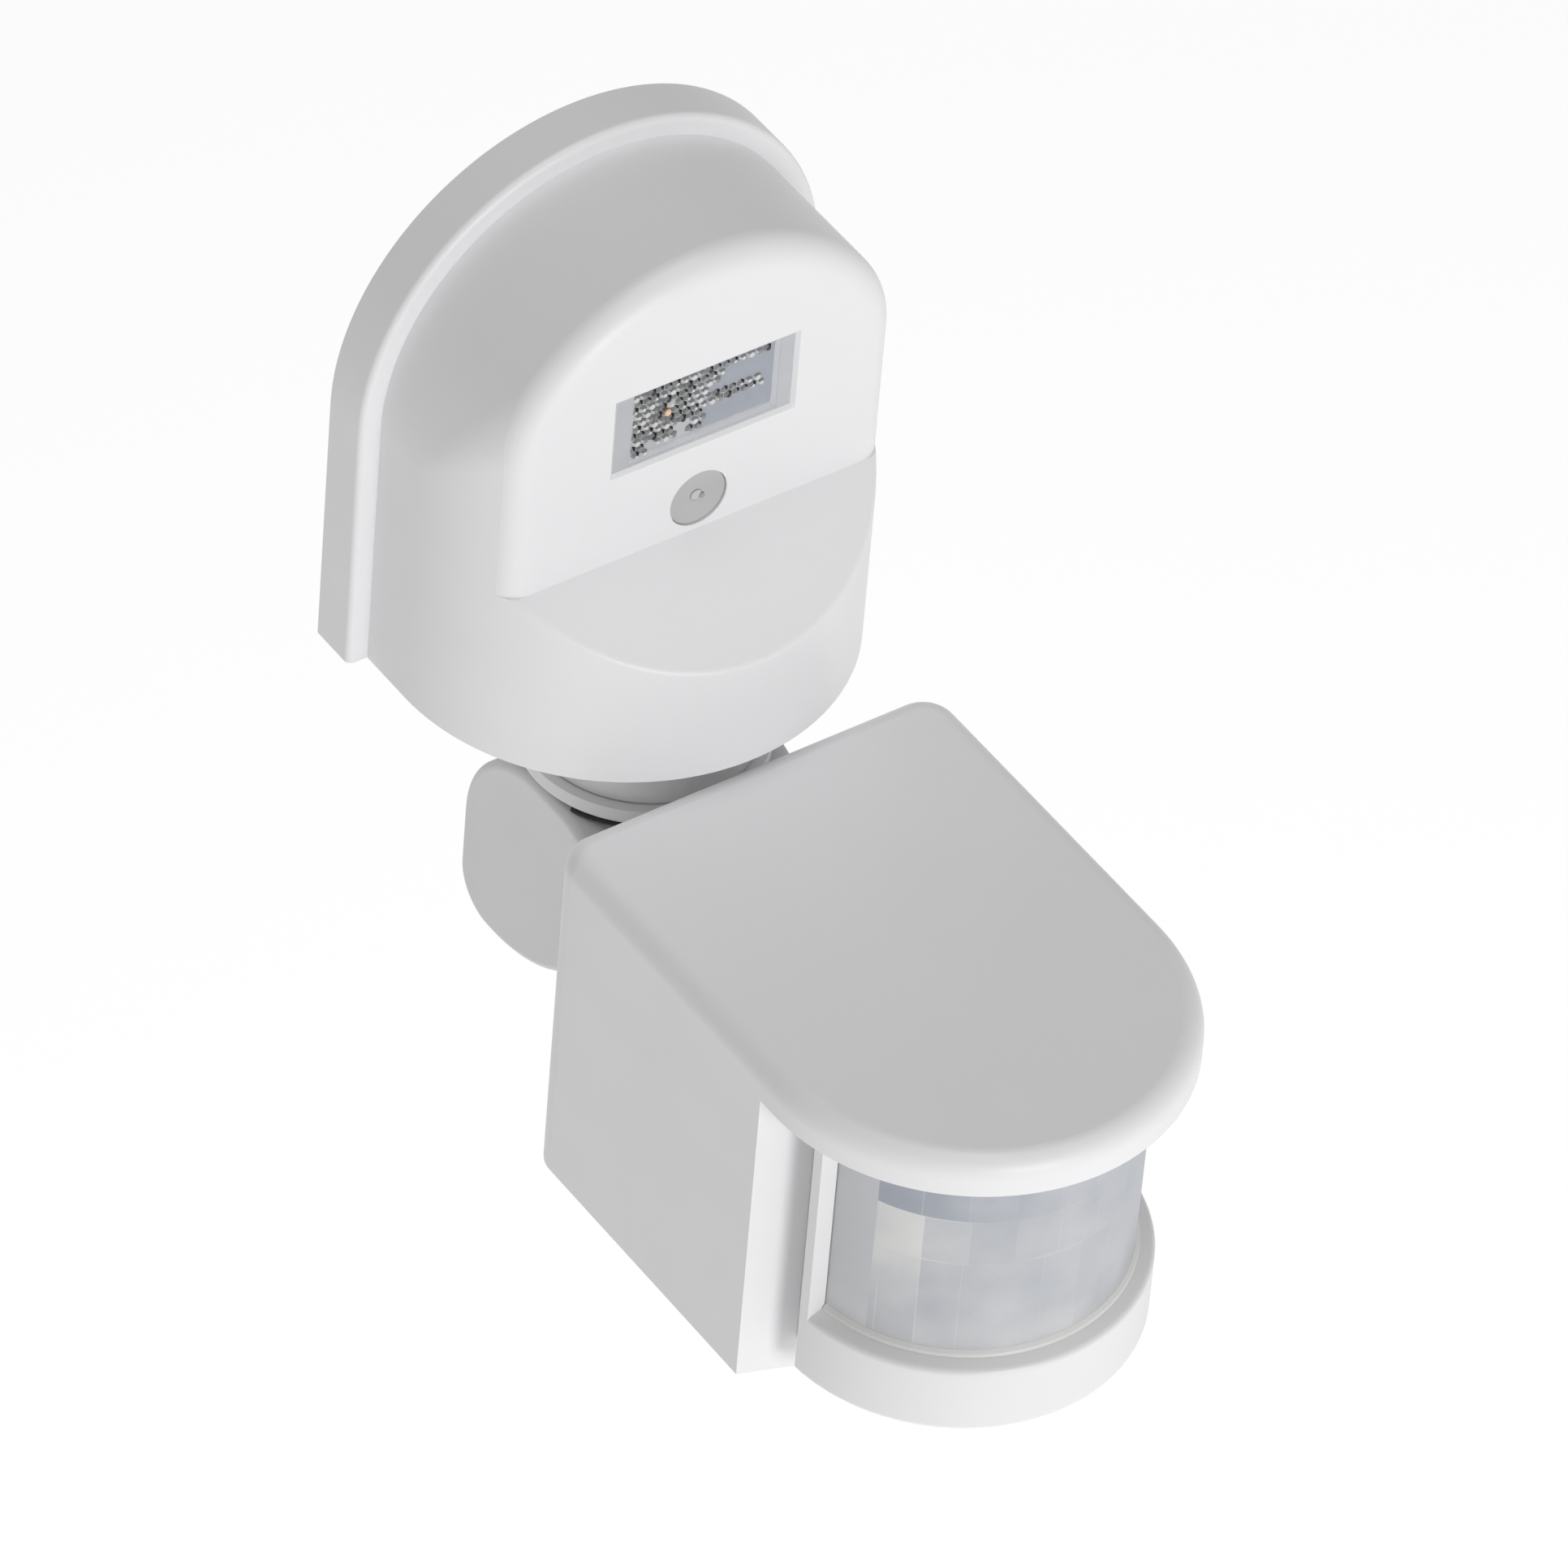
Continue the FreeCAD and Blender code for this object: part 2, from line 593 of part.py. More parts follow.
def rear_corner(edge):
    """Picks the upright edges at the back of the head."""
    point = middle(edge)
    return near(point.y, HEAD_REAR) and near(abs(point.x), HEAD_HALF) and edge.BoundBox.ZLength > 20


def head_shell():
    """Top, sides, back and hood in one moulding, open below and at the front."""
    ceiling = HEAD_TOP - WALL
    hood = round_front(HEAD_HALF, HOOD_CENTRE_Y, HEAD_REAR, HOOD_RIM, HEAD_TOP)
    shell = joined([hood, head_outline(0, HEAD_REAR, HEAD_BOTTOM, HEAD_TOP)])
    shell = rounded(shell, REAR_ROUND, rear_corner)
    shell = rounded(shell, 3.0, lambda edge: near(middle(edge).z, HEAD_TOP))
    shell = shell.cut(head_outline(WALL, REAR_INNER, HEAD_BOTTOM - 1, ceiling))
    hollow = round_front(HEAD_HALF - WALL, HOOD_CENTRE_Y, SIDE_END + 6, HOOD_RIM - 1, ceiling)
    shell = shell.cut(hollow.common(box(-HEAD_HALF, HEAD_HALF, -140, STRIP_Y, -20, 0)))
    shell = shell.cut(box(-MOUTH_HALF, MOUTH_HALF, STRIP_Y - 1, SIDE_END, HEAD_BOTTOM - 1, ceiling))
    for x in BOSS_X:
        for y in BOSS_Y:
            shell = shell.fuse(rod(BOSS_RADIUS, (x, y, FLOOR_TOP), (x, y, ceiling)))
            shell = shell.cut(rod(1.25, (x, y, FLOOR_TOP - 1), (x, y, FLOOR_TOP + 12)))
    gap = ARM_NECK_HALF + 0.3
    shell = shell.cut(box(-gap, gap, REAR_INNER - 1, HEAD_REAR + 1, ARM_BOTTOM - 0.3, ARM_TOP + 0.3))
    for x in ARM_SCREWS_X:
        for z in ARM_SCREWS_Z:
            shell = shell.cut(rod(1.2, (x, REAR_INNER - 1, z), (x, HEAD_REAR - 1.0, z)))
    return shell.removeSplitter()


def head_bottom():
    """Closing plate with a lip under the lens frame, board pillars and holes for the three knobs."""
    under = HEAD_BOTTOM + 0.2
    plate = head_outline(WALL + 0.2, REAR_INNER, under, FLOOR_TOP)
    lip = box(-TONGUE_HALF, TONGUE_HALF, STRIP_Y + 0.1, STRIP_Y + 3.7, under, CHIN_BOTTOM - 0.2)
    plate = joined([plate, lip])
    for x in POST_X:
        for y in POST_Y:
            plate = plate.fuse(rod(2.4, (x, y, FLOOR_TOP), (x, y, BOARD_BOTTOM)))
            plate = plate.cut(rod(1.0, (x, y, BOARD_TOP - 9), (x, y, BOARD_TOP)))
    for x in BOSS_X:
        for y in BOSS_Y:
            plate = plate.cut(rod(1.6, (x, y, HEAD_BOTTOM - 1), (x, y, FLOOR_TOP + 1)))
            plate = plate.cut(rod(2.9, (x, y, HEAD_BOTTOM - 1), (x, y, HEAD_BOTTOM + 1.5)))
    for x in KNOB_X:
        plate = plate.cut(rod(KNOB_HOLE, (x, KNOB_Y, HEAD_BOTTOM - 1), (x, KNOB_Y, FLOOR_TOP + 1)))
    plate = plate.cut(rod(3.1, (0, DAYLIGHT_Y, HEAD_BOTTOM - 1), (0, DAYLIGHT_Y, FLOOR_TOP + 1)))
    return plate.removeSplitter()


def bottom_screws():
    screws = []
    for x in BOSS_X:
        for y in BOSS_Y:
            tip = (x, y, FLOOR_TOP + 9)
            seat = (x, y, HEAD_BOTTOM + 1.5)
            screws.append(slotted_screw(1.2, tip, seat, 2.7, (x, y, HEAD_BOTTOM + 0.1), 0.7))
    return group(screws)


def daylight_window():
    """Small clear cap in the floor over the light sensor."""
    cap = rod(3.0, (0, DAYLIGHT_Y, HEAD_BOTTOM + 0.1), (0, DAYLIGHT_Y, FLOOR_TOP))
    return joined([cap, rod(3.9, (0, DAYLIGHT_Y, FLOOR_TOP), (0, DAYLIGHT_Y, FLOOR_TOP + 0.8))])


def front_disc(radius, back, z0, z1):
    """Round block about the lens axis, cut off flat at the back."""
    disc = rod(radius, (0, BEZEL_CENTRE_Y, z0), (0, BEZEL_CENTRE_Y, z1))
    return disc.common(box(-40, 40, -140, back, z0, z1))


def bezel_chin():
    """Rounded lower lip of the lens frame; its top slopes up to the groove for the lens."""
    seat = CHIN_TOP - CHIN_STEP
    high = CHIN_TOP + CHIN_RISE + 1
    slot = POST_FACE_Y + LENS_SLOT
    rim = rod(BEZEL_RADIUS, (0, BEZEL_CENTRE_Y, CHIN_BOTTOM), (0, BEZEL_CENTRE_Y, CHIN_TOP))
    rim = rounded(rim, 1.0, lambda edge: near(edge.BoundBox.ZMax, CHIN_BOTTOM))
    slope = Part.makeCone(BEZEL_RADIUS, LENS_RADIUS, CHIN_RISE, V(0, BEZEL_CENTRE_Y, CHIN_TOP), V(0, 0, 1))
    rim = rounded(joined([rim, slope]), 0.9, lambda edge: near(edge.BoundBox.ZMin, CHIN_TOP) and
                  near(edge.BoundBox.ZMax, CHIN_TOP))
    rim = rim.common(box(-40, 40, -140, BEZEL_RIM_BACK, CHIN_BOTTOM - 1, high))
    neck = box(-NECK_HALF, NECK_HALF, BEZEL_RIM_BACK - 0.2, BEZEL_BACK, CHIN_BOTTOM + 0.8, CHIN_TOP)
    chin = joined([rim, neck])
    chin = chin.cut(front_disc(LENS_RADIUS + 0.15, slot, seat, high))
    chin = chin.cut(front_disc(LENS_RADIUS - 1.6, slot, CHIN_BOTTOM + WALL, high))
    return chin.cut(box(-NECK_INNER, NECK_INNER, slot - 0.1, BEZEL_BACK + 1, CHIN_BOTTOM + WALL, high))


def bezel_posts(seat, high):
    """Upright at each side of the lens, with the lens slot in front and the neck behind."""
    rim = front_disc(BEZEL_RADIUS, BEZEL_RIM_BACK, seat, high)
    rim = rim.common(box(-40, 40, POST_FACE_Y, BEZEL_RIM_BACK, seat, high))
    neck = box(-NECK_HALF, NECK_HALF, BEZEL_RIM_BACK - 0.2, BEZEL_BACK, seat, high)
    posts = joined([rim, neck])
    posts = posts.cut(box(-NECK_INNER, NECK_INNER, POST_FACE_Y - 1, BEZEL_BACK + 1, seat - 1, high + 1))
    return posts.cut(front_disc(LENS_RADIUS + 0.15, POST_FACE_Y + LENS_SLOT, seat - 1, high + 1))


def lens_bezel():
    """Frame around the lens: two posts, a rounded chin and a tongue into the head."""
    high = HEAD_TOP - WALL - 0.2
    inside = STRIP_Y + 3.2
    opening = TONGUE_HALF - 2.4
    tongue = box(-TONGUE_HALF, TONGUE_HALF, BEZEL_BACK - 0.01, inside, CHIN_BOTTOM, high)
    tongue = tongue.cut(box(-opening, opening, BEZEL_BACK - 1, inside + 0.5, CHIN_BOTTOM + WALL, high - WALL))
    frame = box(-NECK_HALF, NECK_HALF, BEZEL_BACK - 1.6, BEZEL_BACK, CHIN_BOTTOM + WALL, high)
    frame = frame.cut(box(-opening, opening, BEZEL_BACK - 3, BEZEL_BACK + 1, CHIN_BOTTOM, high - WALL))
    return joined([bezel_chin(), bezel_posts(CHIN_TOP - CHIN_STEP, high), tongue, frame])


def fresnel_lens():
    """Thin half-round window, standing in the groove behind the chin."""
    top = HEAD_TOP - WALL - 0.4
    bottom = CHIN_TOP - CHIN_STEP + 0.2
    end = POST_FACE_Y + LENS_SLOT - 0.1
    inner = front_disc(LENS_RADIUS - LENS_WALL, end + 1, bottom - 1, top + 1)
    return front_disc(LENS_RADIUS, end, bottom, top).cut(inner)


def main_board():
    board = box(-BOARD_HALF, BOARD_HALF, BOARD_FRONT, BOARD_BACK, BOARD_BOTTOM, BOARD_TOP)
    for x in POST_X:
        for y in POST_Y:
            board = board.cut(rod(1.2, (x, y, BOARD_BOTTOM - 1), (x, y, BOARD_TOP + 1)))
    return board


def board_screws():
    screws = []
    for x in POST_X:
        for y in POST_Y:
            top = (x, y, BOARD_TOP + 1.3)
            screws.append(slotted_screw(0.95, (x, y, BOARD_TOP - 8), (x, y, BOARD_TOP), 1.8, top, 0.5))
    return group(screws)


def sensor_board():
    """Upright board that faces the lens."""
    return box(-14, 14, SENSOR_FRONT, SENSOR_BOARD_Y, BOARD_TOP - 4, -9.0)


def board_header():
    """Row of right-angle pins between the two boards."""
    pins = []
    for column in range(8):
        x = (column - 3.5) * 2.54
        pins.append(box(x - 0.3, x + 0.3, SENSOR_BOARD_Y, BOARD_FRONT + 2.0, BOARD_TOP, BOARD_TOP + 0.6))
    return group(pins)


def pir_sensor():
    """Metal can with a rectangular filter window."""
    brim = SENSOR_FRONT - 0.8
    face = SENSOR_FRONT - 4.2
    can = joined([rod(4.7, (0, SENSOR_FRONT, SENSOR_Z), (0, brim, SENSOR_Z)),
                  rod(4.1, (0, brim, SENSOR_Z), (0, face, SENSOR_Z))])
    return can.cut(box(-2.0, 2.0, face - 0.8, face + 0.3, SENSOR_Z - 1.5, SENSOR_Z + 1.5))


def status_led():
    """Round light beside the sensor, with a domed end."""
    end = SENSOR_FRONT - 3.0
    body = rod(1.5, (LED_X, SENSOR_FRONT, LED_Z), (LED_X, end, LED_Z))
    return joined([body, Part.makeSphere(1.5, V(LED_X, end, LED_Z))])


def relay():
    case = box(-19.5, -4.5, -81.0, -62.0, BOARD_TOP, BOARD_TOP + 15.5)
    return rounded(case, 0.6, lambda edge: edge.BoundBox.ZMin > BOARD_TOP + 1)


def film_capacitor():
    case = box(-2.0, 13.0, -66.5, -59.0, BOARD_TOP, BOARD_TOP + 12.5)
    return rounded(case, 0.8, lambda edge: edge.BoundBox.ZMin > BOARD_TOP + 1)


def electrolytic_capacitors():
    cans = []
    for x, y, radius, height in ((5.0, -74.0, 5.0, 13.0), (15.0, -75.0, 3.2, 9.0)):
        top = BOARD_TOP + height
        can = rod(radius, (x, y, BOARD_TOP), (x, y, top))
        cans.append(rounded(can, 0.5, lambda edge: near(edge.BoundBox.ZMin, top)))
    return group(cans)


def control_chip():
    """Moulded control circuit with two rows of seven leads."""
    parts = [box(1.0, 9.6, -86.0, -82.1, BOARD_TOP + 0.3, BOARD_TOP + 1.8)]
    for column in range(7):
        x = 1.5 + column * 1.27
        parts.append(box(x - 0.2, x + 0.2, -87.0, -81.1, BOARD_TOP, BOARD_TOP + 0.5))
    return joined(parts)


def trimmers():
    """Three adjusting resistors under the board, one above each knob."""
    bodies = []
    for x in KNOB_X:
        body = box(x - 4.8, x + 4.8, KNOB_Y - 4.8, KNOB_Y + 4.8, TRIMMER_BOTTOM, BOARD_BOTTOM)
        bodies.append(body.cut(rod(2.05, (x, KNOB_Y, TRIMMER_BOTTOM - 1), (x, KNOB_Y, TRIMMER_BOTTOM + 3.0))))
    return group(bodies)


def photocell():
    """Disc-shaped light sensor on two legs."""
    body = rod(2.5, (0, DAYLIGHT_Y, FLOOR_TOP + 3.0), (0, DAYLIGHT_Y, FLOOR_TOP + 5.0))
    front = DAYLIGHT_Y - 0.25
    legs = []
    for x in (-1.3, 1.3):
        legs.append(box(x - 0.25, x + 0.25, front, front + 0.5, FLOOR_TOP + 4.0, BOARD_BOTTOM))
    return joined([body] + legs)


def adjuster_knob(x):
    """Knurled knob with a pointer slot, a retaining shoulder and a shaft into its trimmer."""
    low = HEAD_BOTTOM - 1.0
    grip = rod(KNOB_RADIUS, (x, KNOB_Y, low), (x, KNOB_Y, FLOOR_TOP + 0.1))
    for step in range(FLUTES):
        angle = step * 2 * math.pi / FLUTES
        flute_x = x + (KNOB_RADIUS + 0.2) * math.cos(angle)
        flute_y = KNOB_Y + (KNOB_RADIUS + 0.2) * math.sin(angle)
        grip = grip.cut(rod(0.45, (flute_x, flute_y, low - 1), (flute_x, flute_y, HEAD_BOTTOM + 1.6)))
    grip = grip.cut(box(x - 0.6, x + 0.6, KNOB_Y - 5, KNOB_Y + 2.4, low - 1, low + 0.9))
    shoulder = rod(5.4, (x, KNOB_Y, FLOOR_TOP + 0.1), (x, KNOB_Y, FLOOR_TOP + 1.0))
    shaft = rod(2.0, (x, KNOB_Y, FLOOR_TOP), (x, KNOB_Y, TRIMMER_BOTTOM + 2.8))
    return joined([grip, shoulder, shaft])


BASE = (wall_plate, cover_gasket, base_cover, cable_grommet, terminal_block, terminal_clamps, terminal_screws,
        screw_plug, cover_screw, led_window, led_board, led_chips, led_board_screws, supply_lead,
        fixed_collar, collar_nut, swivel_seal)
SWIVEL = (swivel_body, swivel_washer, swivel_clip, swivel_lead, tilt_bolt, tilt_nut, tilt_spring_washer,
          friction_washers, tilt_cap)
HEAD = (tilt_arm, arm_screws, arm_lead, head_shell, head_bottom, bottom_screws, daylight_window,
        lens_bezel, fresnel_lens, main_board, board_screws, sensor_board, board_header, pir_sensor,
        status_led, relay, film_capacitor, electrolytic_capacitors, control_chip, trimmers, photocell)
KNOBS = ("time_knob", "daylight_knob", "range_knob")

os.makedirs("parts", exist_ok=True)
for make in BASE + SWIVEL + HEAD:
    make().exportStep("parts/" + make.__name__ + ".step")
for name, x in zip(KNOBS, KNOB_X):
    adjuster_knob(x).exportStep("parts/" + name + ".step")
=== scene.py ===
import bpy
import bmesh
import json
import math
from mathutils import Matrix, Vector


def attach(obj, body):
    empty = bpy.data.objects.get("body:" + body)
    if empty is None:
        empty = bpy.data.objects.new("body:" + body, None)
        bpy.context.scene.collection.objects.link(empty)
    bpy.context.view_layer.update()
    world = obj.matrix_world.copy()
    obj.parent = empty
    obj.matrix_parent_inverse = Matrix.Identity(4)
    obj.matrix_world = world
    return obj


# Motion sensor: an arched base with a light window, a swivel knuckle and a sensor head.
# Metres. +Z is up, +Y runs back into the wall, the front faces -Y.

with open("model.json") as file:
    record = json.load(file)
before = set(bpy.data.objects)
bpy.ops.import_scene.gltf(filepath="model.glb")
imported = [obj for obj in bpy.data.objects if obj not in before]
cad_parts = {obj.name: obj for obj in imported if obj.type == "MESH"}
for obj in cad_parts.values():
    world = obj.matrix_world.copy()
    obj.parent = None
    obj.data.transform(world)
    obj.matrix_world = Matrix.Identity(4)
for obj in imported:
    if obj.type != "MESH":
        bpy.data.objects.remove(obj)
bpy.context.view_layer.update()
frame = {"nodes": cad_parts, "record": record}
NODES = frame["nodes"]
MM = 0.001


# Small helpers for node materials

class Shader:
    """One material's node tree, with short calls that make and link its nodes."""

    def __init__(self, name):
        self.material = bpy.data.materials.new(name)
        self.material.use_nodes = True
        self.tree = self.material.node_tree
        self.tree.nodes.clear()
        self.output = self.tree.nodes.new("ShaderNodeOutputMaterial")
        self.surface = self.tree.nodes.new("ShaderNodeBsdfPrincipled")
        self.tree.links.new(self.surface.outputs[0], self.output.inputs["Surface"])
        self.position = self.tree.nodes.new("ShaderNodeTexCoord").outputs["Object"]

    def put(self, socket, value):
        if isinstance(value, bpy.types.NodeSocket):
            self.tree.links.new(value, socket)
        else:
            socket.default_value = value

    def set(self, name, value):
        self.put(self.surface.inputs[name], value)

    def math(self, kind, a, b=0.0, c=0.0):
        node = self.tree.nodes.new("ShaderNodeMath")
        node.operation = kind
        for socket, value in zip(node.inputs, (a, b, c)):
            self.put(socket, value)
        return node.outputs[0]

    def noise(self, scale, detail, position=None):
        node = self.tree.nodes.new("ShaderNodeTexNoise")
        self.put(node.inputs["Vector"], position or self.position)
        node.inputs["Scale"].default_value = scale
        node.inputs["Detail"].default_value = detail
        return node.outputs["Fac"]

    def stretched(self, factors):
        node = self.tree.nodes.new("ShaderNodeMapping")
        self.put(node.inputs["Vector"], self.position)
        node.inputs["Scale"].default_value = factors
        return node.outputs[0]

    def ramp(self, value, low, high, start=0.0, end=1.0):
        node = self.tree.nodes.new("ShaderNodeMapRange")
        self.put(node.inputs["Value"], value)
        for name, number in (("From Min", start), ("From Max", end), ("To Min", low), ("To Max", high)):
            node.inputs[name].default_value = number
        return node.outputs[0]

    def mix(self, share, first, second):
        node = self.tree.nodes.new("ShaderNodeMix")
        node.data_type = "RGBA"
        self.put(node.inputs[0], share)
        self.put(node.inputs[6], rgba(first) if isinstance(first, tuple) else first)
        self.put(node.inputs[7], rgba(second) if isinstance(second, tuple) else second)
        return node.outputs[2]

    def bump(self, height, distance, strength):
        node = self.tree.nodes.new("ShaderNodeBump")
        node.inputs["Distance"].default_value = distance
        node.inputs["Strength"].default_value = strength
        self.put(node.inputs["Height"], height)
        self.set("Normal", node.outputs[0])

    def axes(self):
        node = self.tree.nodes.new("ShaderNodeSeparateXYZ")
        self.put(node.inputs[0], self.position)
        return node.outputs


def rgba(color):
    return (color[0], color[1], color[2], 1.0)


def shade(color, factor):
    return tuple(min(1.0, channel * factor) for channel in color)


def moulded(name, color, rough=0.42, grain=0.012, cell=2600.0):
    """Moulded plastic: a fine even grain (its depth in mm), faint flow marks and slightly uneven gloss."""
    m = Shader(name)
    flow = m.noise(35.0, 3.0, m.stretched((1.0, 1.0, 2.2)))
    m.set("Base Color", m.mix(flow, shade(color, 0.98), shade(color, 1.02)))
    m.set("Roughness", m.ramp(m.noise(90.0, 3.0), rough - 0.05, rough + 0.05, 0.3, 0.7))
    m.set("Specular IOR Level", 0.5)
    fine = m.noise(cell, 2.0)
    broad = m.noise(220.0, 1.0)
    m.bump(m.math("MULTIPLY_ADD", broad, 0.6, fine), grain * MM, 0.5)
    return m.material


def metal(name, color, rough=0.32):
    """Turned or plated metal with fine level scratches."""
    m = Shader(name)
    scratches = m.noise(700.0, 4.0, m.stretched((1.0, 1.0, 30.0)))
    m.set("Base Color", m.mix(scratches, shade(color, 0.86), shade(color, 1.08)))
    m.set("Metallic", 1.0)
    m.set("Roughness", m.ramp(scratches, rough - 0.08, rough + 0.12, 0.3, 0.7))
    m.bump(scratches, 0.01 * MM, 0.4)
    return m.material


def rubber(name, color, rough=0.72):
    """Rubber or soft sheath: matt, with a fine speckle."""
    m = Shader(name)
    speck = m.noise(1800.0, 3.0)
    m.set("Base Color", m.mix(speck, shade(color, 0.8), shade(color, 1.25)))
    m.set("Roughness", m.ramp(speck, rough - 0.08, rough + 0.08, 0.3, 0.7))
    m.bump(speck, 0.03 * MM, 0.5)
    return m.material


def clear_moulding(name, color, rough=0.12, through=0.25):
    """Tinted clear plastic, kept partly opaque, with shallow ripples."""
    m = Shader(name)
    ripple = m.noise(160.0, 2.0)
    m.set("Base Color", m.mix(ripple, shade(color, 0.93), shade(color, 1.07)))
    m.set("Roughness", m.ramp(ripple, rough, rough + 0.1, 0.3, 0.7))
    m.set("Transmission Weight", through)
    m.set("IOR", 1.49)
    m.bump(ripple, 0.05 * MM, 0.3)
    return m.material


def board(name, color):
    """Circuit board: glossy solder mask over faint copper tracks."""
    m = Shader(name)
    brick = m.tree.nodes.new("ShaderNodeTexBrick")
    m.put(brick.inputs["Vector"], m.position)
    brick.inputs["Scale"].default_value = 420.0
    brick.inputs["Mortar Size"].default_value = 0.06
    tracks = brick.outputs["Fac"]
    spots = m.noise(600.0, 2.0)
    base = m.mix(spots, shade(color, 0.85), shade(color, 1.15))
    m.set("Base Color", m.mix(m.math("MULTIPLY", tracks, 0.5), base, shade(color, 1.7)))
    m.set("Roughness", m.ramp(spots, 0.25, 0.4, 0.3, 0.7))
    m.bump(tracks, 0.03 * MM, 0.5)
    return m.material


LENS_CENTRE_Y = -101.3 * MM
ROW_EDGES = (-17.7 * MM, -25.3 * MM)      # heights between the three rows of lens facets
ROW_STARTS = (-65.0, -64.0, -62.4)        # where each row's facets begin, in degrees from straight ahead
ROW_STEPS = (15.0, 15.0, 13.4)            # width of a facet in each row, in degrees
FACET_SPAN = 5.6 * MM                     # width of a facet on the sheet
RING_CENTRE_Z = -27.0 * MM                # height of the middle of the fine rings
RING_PITCH = 0.45 * MM
LINE_HALF = 0.13 * MM                     # half the width of a level line between two rows
LINE_SHARE = 0.012                        # half the width of an upright line, as a share of a facet
PLAIN_TONE = 0.6                          # tone of the sheet beside the facets
LENS_DARK = (0.27, 0.30, 0.36)
LENS_LIGHT = (0.68, 0.675, 0.665)


def facet_column(m, angle, start, step):
    """Column number of a point, its distance from the facet's edge (0 to 0.5) and place across (0 to 1)."""
    place = m.math("DIVIDE", m.math("SUBTRACT", angle, start), step)
    share = m.math("FRACT", place)
    edge = m.math("SUBTRACT", 0.5, m.math("ABSOLUTE", m.math("SUBTRACT", share, 0.5)))
    return m.math("FLOOR", place), edge, share


def lens_material(name):
    """Milky sheet with three rows of facets that differ a little in tone, and fine rings."""
    m = Shader(name)
    x, y, z = m.axes()
    forward = m.math("SUBTRACT", LENS_CENTRE_Y, y)
    angle = m.math("MULTIPLY", m.math("ARCTAN2", x, forward), 180 / math.pi)
    upper = m.math("GREATER_THAN", z, ROW_EDGES[0])
    lower = m.math("LESS_THAN", z, ROW_EDGES[1])
    middle = m.math("SUBTRACT", m.math("SUBTRACT", 1.0, upper), lower)
    columns = [facet_column(m, angle, start, step) for start, step in zip(ROW_STARTS, ROW_STEPS)]
    rows = (upper, middle, lower)

    def chosen(index):
        total = 0.0
        for row, column in zip(rows, columns):
            total = m.math("MULTIPLY_ADD", row, column[index], total)
        return total

    number, edge, share = chosen(0), chosen(1), chosen(2)

    # Each facet's own tone; the top row is darker, most of all on the left
    white = m.tree.nodes.new("ShaderNodeTexWhiteNoise")
    white.noise_dimensions = "2D"
    join = m.tree.nodes.new("ShaderNodeCombineXYZ")
    m.put(join.inputs[0], number)
    m.put(join.inputs[1], m.math("MULTIPLY_ADD", upper, 3.0, lower))
    m.put(white.inputs["Vector"], join.outputs[0])
    fading = m.ramp(angle, 1.0, 0.25, -60.0, 20.0)
    cloud = m.noise(110.0, 3.0)
    tone = m.math("MULTIPLY_ADD", m.math("SUBTRACT", white.outputs["Value"], 0.5), 0.1, 0.5)
    tone = m.math("SUBTRACT", tone, m.math("MULTIPLY", upper, m.ramp(angle, 0.38, 0.02, -54.0, -12.0)))

    # The first column runs through both lower rows, bright above and dark at its foot
    leading = m.math("LESS_THAN", angle, ROW_STARTS[1] + ROW_STEPS[1])
    first = m.math("MULTIPLY", m.math("MULTIPLY", leading, m.math("SUBTRACT", 1.0, upper)),
                   m.ramp(z, -0.1, 0.34, -38.5 * MM, -27.0 * MM))
    tone = m.math("ADD", tone, first)
    tone = m.math("MULTIPLY_ADD", m.math("SUBTRACT", cloud, 0.5), 0.6, tone)

    # Patchy bright lines between the facets, fainter to the right
    line_x = m.math("LESS_THAN", edge, LINE_SHARE)
    gap_high = m.math("ABSOLUTE", m.math("SUBTRACT", z, ROW_EDGES[0]))
    gap_low = m.math("ADD", m.math("ABSOLUTE", m.math("SUBTRACT", z, ROW_EDGES[1])), leading)
    line_z = m.math("LESS_THAN", m.math("MINIMUM", gap_high, gap_low), LINE_HALF)
    line = m.math("MAXIMUM", line_x, line_z)
    patchy = m.ramp(m.noise(75.0, 2.0), 0.15, 1.0, 0.42, 0.58)
    tone = m.math("MULTIPLY_ADD", m.math("MULTIPLY", m.math("MULTIPLY", line, patchy), fading), 0.26, tone)

    # Left of the facets the sheet is plain; all of it is lighter at the foot, a painted glow of light through
    # the sheet, and darker on the right
    faceted = m.math("GREATER_THAN", angle, ROW_STARTS[0])
    tone = m.math("MULTIPLY_ADD", m.math("SUBTRACT", tone, PLAIN_TONE), faceted, PLAIN_TONE)
    tone = m.math("ADD", tone, m.ramp(z, 0.22, 0.0, -42.0 * MM, -35.0 * MM))
    tone = m.math("SUBTRACT", tone, m.ramp(angle, 0.0, 0.2, 0.0, 50.0))
    m.set("Base Color", m.mix(tone, LENS_DARK, LENS_LIGHT))

    # Fine rings about the middle of each column, as shallow relief
    across = m.math("MULTIPLY", m.math("SUBTRACT", share, 0.5), FACET_SPAN)
    up = m.math("SUBTRACT", z, RING_CENTRE_Z)
    radius = m.math("SQRT", m.math("ADD", m.math("MULTIPLY", across, across), m.math("MULTIPLY", up, up)))
    rings = m.math("SINE", m.math("MULTIPLY", radius, 2 * math.pi / RING_PITCH))
    height = m.math("MULTIPLY", m.math("MULTIPLY_ADD", line, 2.0, rings), faceted)
    m.bump(height, 0.01 * MM, 0.3)
    m.set("Roughness", m.ramp(cloud, 0.3, 0.42, 0.3, 0.7))
    m.set("Specular IOR Level", 0.5)
    m.set("Subsurface Weight", 0.15)
    m.set("Subsurface Radius", (1.0, 1.0, 1.0))
    m.set("Subsurface Scale", 1.0 * MM)
    return m.material


